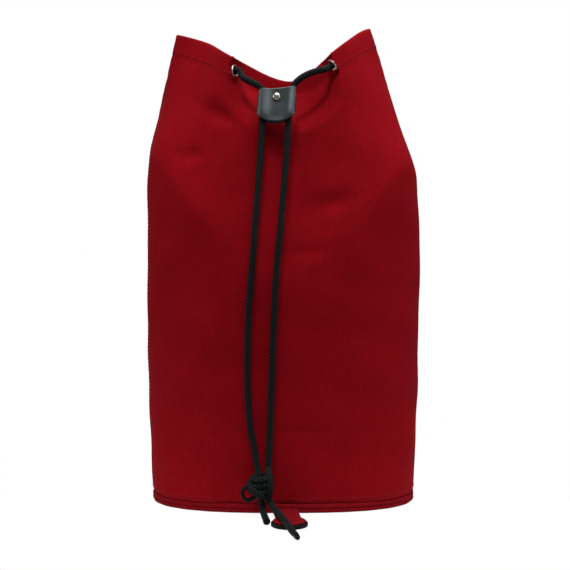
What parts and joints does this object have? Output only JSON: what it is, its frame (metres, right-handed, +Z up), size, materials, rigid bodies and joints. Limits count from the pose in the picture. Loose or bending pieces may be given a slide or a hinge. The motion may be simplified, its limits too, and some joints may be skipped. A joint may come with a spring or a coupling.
{
  "type": "throw rope bag",
  "caption": "Canvas drawstring throw rope bag: soft upright sack on a stiffened base, cord laced through eyelets, leather cord slider, knotted cord and pull tab.",
  "frame": {"origin": "centre of the flat underside of the base, which stands on the floor", "axes": "+Z up, -Y the front with the slider and the tab, +X to the right seen from the front"},
  "size_m": [0.2847, 0.2929, 0.4941],
  "materials": {
    "canvas_red": "matt woven canvas",
    "hem_red": "matt woven canvas",
    "welt_red": "matt woven piping",
    "foam_white": "closed-cell foam",
    "nickel": "polished nickel",
    "cord_black": "braided polyester",
    "leather_black": "smooth satin leather",
    "backing_black": "matt rubber"
  },
  "bodies": {
    "bag": {"front_panel": "canvas_red", "back_panel": "canvas_red", "mouth_facing": "hem_red", "right_seam_tape": "hem_red", "left_seam_tape": "hem_red", "base_welt": "welt_red", "base_panel": "canvas_red", "base_float": "foam_white", "mouth_cord": "cord_black", "hanging_cord_left": "cord_black", "hanging_cord_right": "cord_black", "short_tail": "cord_black", "long_tail": "cord_black", "cord_knot": "cord_black", "knot_loop": "cord_black", "tab_strap": "canvas_red", "tab_backing": "backing_black", "eyelet_1": "nickel", "eyelet_washer_1": "nickel", "eyelet_2": "nickel", "eyelet_washer_2": "nickel", "eyelet_3": "nickel", "eyelet_washer_3": "nickel", "eyelet_4": "nickel", "eyelet_washer_4": "nickel", "eyelet_5": "nickel", "eyelet_washer_5": "nickel", "eyelet_6": "nickel", "eyelet_washer_6": "nickel"},
    "slider": {"slider_wrap": "leather_black", "slider_rivet": "nickel", "slider_rivet_burr": "nickel"}
  },
  "joints": [
    {"name": "slider_slide", "type": "slide", "parent": "bag", "child": "slider", "axis": [-0.0731, -0.2096, -0.975], "range_m": [0, 0.1]}
  ]
}
